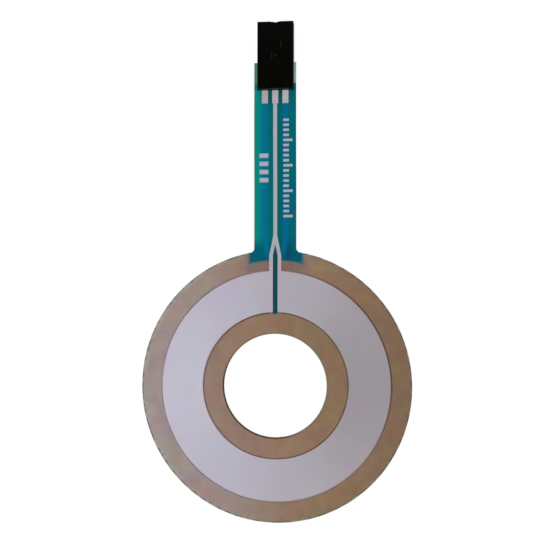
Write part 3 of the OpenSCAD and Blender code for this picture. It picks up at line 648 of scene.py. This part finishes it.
# Connector: housing and cover moulded in black glass-filled polyester, pressed together through the film.
# The mould leaves an even fine matt, a little smoother where the tool was polished.
def black_moulding(tree, place):
    """Near-black plastic with an eroded grain, uneven sheen, a grey gate mark and painted highlights on
    the groove walls.

    The grain is drawn coarser than the mould's, so that it shows. Each painted highlight is a short
    line along the tail, given by its middle's x and y and its half length.
    """
    grain_mm, grain_rise_mm, sheen_mm, corner_mm = 0.12, 0.02, 2.0, 0.07
    gate_at, gate_mm, gate_core_mm = (0.37, 80.74, 3.1), 0.42, 0.05
    wall_glints, glint_mm, glint_core_mm, glint_core_share = ((-0.7, 80.9, 1.1), (1.54, 83.5, 1.0)), 0.22, 0.05, 0.5
    grain = add(tree, "TexNoise", {"Vector": place, "Scale": 1 / grain_mm, "Detail": 2.0})
    sheen = add(tree, "TexNoise", {"Vector": place, "Scale": 1 / sheen_mm, "Detail": 1.0})
    colour = add(tree, "ValToRGB", {"Fac": grain}, stops=[(0.3, "#020201"), (0.7, "#050503")])
    rough = add(tree, "MapRange", {"Value": sheen, "To Min": 0.28, "To Max": 0.36})
    from_gate = add(tree, "VectorMath", {0: place, 1: gate_at}, out="Value", operation="DISTANCE")
    gate = add(tree, "MapRange", {"Value": from_gate, "From Min": gate_mm, "From Max": gate_core_mm})
    colour = add(tree, "Mix", {0: gate, 6: colour, 7: linear("#24241F")}, out=2, data_type="RGBA")
    split = add(tree, "SeparateXYZ", {"Vector": place}).node
    # Painted highlights where the groove walls catch the light.
    for glint_x, glint_y, half_mm in wall_glints:
        off_x = add(tree, "Math", {0: split.outputs["X"], 1: glint_x}, operation="SUBTRACT")
        off_x = add(tree, "Math", {0: off_x}, operation="ABSOLUTE")
        on_line = add(tree, "MapRange", {"Value": off_x, "From Min": glint_mm, "From Max": glint_core_mm})
        off_y = add(tree, "Math", {0: split.outputs["Y"], 1: glint_y}, operation="SUBTRACT")
        off_y = add(tree, "Math", {0: off_y}, operation="ABSOLUTE")
        along = add(tree, "MapRange", {
            "Value": off_y, "From Min": half_mm, "From Max": glint_core_share * half_mm})
        glinting = add(tree, "Math", {0: on_line, 1: along}, operation="MULTIPLY")
        colour = add(tree, "Mix", {0: glinting, 6: colour, 7: linear("#1B1D19")}, out=2, data_type="RGBA")
    rounded = add(tree, "Bevel", {"Radius": corner_mm * MM}, samples=8)
    relief = add(tree, "Bump", {
        "Height": grain, "Strength": 0.25, "Distance": grain_rise_mm * MM, "Normal": rounded})
    return add(tree, "BsdfPrincipled", {
        "Base Color": colour, "Roughness": rough, "Normal": relief, "Specular IOR Level": 0.05})


dress(["connector_housing", "connector_cover"], material("black_glass_filled_polyester", black_moulding))


# Contacts: phosphor bronze strip, stamped, folded and tin-plated, crimped through the film.
# Their springs show in the pin openings and their tines in the cover's pockets.
def tinned_bronze(tree, place):
    """Matt tin with rolling lines along the strip, drawn coarser than real ones so that they show."""
    line_mm, stretch = 0.06, 0.08
    stretched = add(tree, "Mapping", {"Vector": place, "Scale": (1, stretch, 1)})
    lines = add(tree, "TexNoise", {"Vector": stretched, "Scale": 1 / line_mm, "Detail": 1.0})
    colour = add(tree, "ValToRGB", {"Fac": lines}, stops=[(0.3, "#B4B1A8"), (0.7, "#CBC8C0")])
    return add(tree, "BsdfPrincipled", {"Base Color": colour, "Metallic": 1.0, "Roughness": 0.34})


contact_finish = material("tinned_phosphor_bronze", tinned_bronze)
dress(["left_contact", "centre_contact", "right_contact"], contact_finish)


# Studio: a pale floor, four soft lamps at half height as on a copy stand, and a dim sky straight above,
# so that nothing bright is mirrored by the flat film. The camera looks down from 200 mm, leaning a little.
def white_floor(tree, place):
    """White to the eye and in reflections, with a share of real shading near the object for its shadow.

    That share fades out between near_mm and far_mm from the axis. Other rays meet more of the shading.
    """
    near_mm, far_mm, near_shade, bounce_glow, glow_strength = 100, 400, 0.1, 0.35, 1.03
    rays = add(tree, "LightPath").node
    seen = add(tree, "Math", {0: rays.outputs["Is Camera Ray"], 1: rays.outputs["Is Glossy Ray"]},
               operation="MAXIMUM")
    seen = add(tree, "Math", {0: seen, 1: rays.outputs["Is Transmission Ray"]}, operation="MAXIMUM")
    away = add(tree, "VectorMath", {0: place}, out="Value", operation="LENGTH")
    seen_glow = add(tree, "MapRange", {
        "Value": away, "From Min": near_mm, "From Max": far_mm, "To Min": 1 - near_shade})
    glow_share = add(tree, "Mix", {0: seen, 2: bounce_glow, 3: seen_glow})
    lit = add(tree, "BsdfDiffuse", {"Color": (0.9, 0.9, 0.9, 1)})
    glow = add(tree, "Emission", {"Color": (1, 1, 1, 1), "Strength": glow_strength})
    above = add(tree, "MixShader", {0: glow_share, 1: lit, 2: glow})
    below = add(tree, "NewGeometry", out="Backfacing")
    return add(tree, "MixShader", {0: below, 1: above, 2: add(tree, "BsdfTransparent")})


floor_half, floor_drop = 3.0, 0.02 * MM
floor_plan = floor_half * np.array([(-1, -1), (1, -1), (1, 1), (-1, 1)])
floor_mesh = bpy.data.meshes.new("floor")
floor_mesh.from_pydata(np.column_stack([floor_plan, np.full(4, -floor_drop)]).tolist(), [], [(0, 1, 2, 3)])
floor = bpy.data.objects.new("floor", floor_mesh)
bpy.context.scene.collection.objects.link(floor)
floor_mesh.materials.append(material("white_floor", white_floor))

# Sky: white to the camera. To everything else it is pale at the horizon and nearly black overhead.
world = bpy.data.worlds.new("studio")
bpy.context.scene.world = world
world.use_nodes = True
sky = world.node_tree
sky.nodes.clear()
height = add(sky, "SeparateXYZ", {"Vector": add(sky, "TexCoord", out="Generated")}, out="Z")
shade = add(sky, "ValToRGB", {"Fac": height}, stops=[(0, "#B8B8B8"), (0.35, "#303030"), (0.8, "#101010")])
seen = add(sky, "LightPath", out="Is Camera Ray")
shade = add(sky, "Mix", {0: seen, 6: shade, 7: linear("#FFFFFF")}, out=2, data_type="RGBA")
add(sky, "OutputWorld", {"Surface": add(sky, "Background", {"Color": shade, "Strength": 1.0})})

# Lamps: a quarter turn apart round the object's middle, each tipped to face it from lamp_angle above.
lamp_distance, lamp_side, lamp_power, lamp_angle = 0.6, 0.35, 1.6, math.radians(38)
lamp_away, lamp_up = lamp_distance * math.cos(lamp_angle), lamp_distance * math.sin(lamp_angle)
middle = np.array([0, 0.028, 0])
for k in range(4):
    turn = math.radians(90 * k)
    lamp_data = bpy.data.lights.new(f"lamp_{k}", "AREA")
    lamp_data.size = lamp_side
    lamp_data.energy = lamp_power
    lamp = bpy.data.objects.new(f"lamp_{k}", lamp_data)
    bpy.context.scene.collection.objects.link(lamp)
    lamp.location = middle + np.array([lamp_away * math.cos(turn), lamp_away * math.sin(turn), lamp_up])
    lamp.rotation_euler = (0, math.pi / 2 - lamp_angle, turn)

# Camera: turned first, then set back from its aim along its own axis.
aim, distance, lens, sensor = (-0.1 * MM, 27.03 * MM, 0), 200 * MM, 53.18, 36
lean_back, lean_right, twist = math.radians(2.35), math.radians(5.68), math.radians(0.08)
camera_data = bpy.data.cameras.new("camera")
camera_data.lens = lens
camera_data.sensor_width = sensor
camera = bpy.data.objects.new("camera", camera_data)
bpy.context.scene.collection.objects.link(camera)
camera.rotation_euler = (lean_back, lean_right, twist)
backwards = camera.rotation_euler.to_matrix().col[2]
camera.location = np.array(aim) + distance * np.array(backwards)
bpy.context.scene.camera = camera
bpy.context.scene.view_settings.view_transform = "Standard"
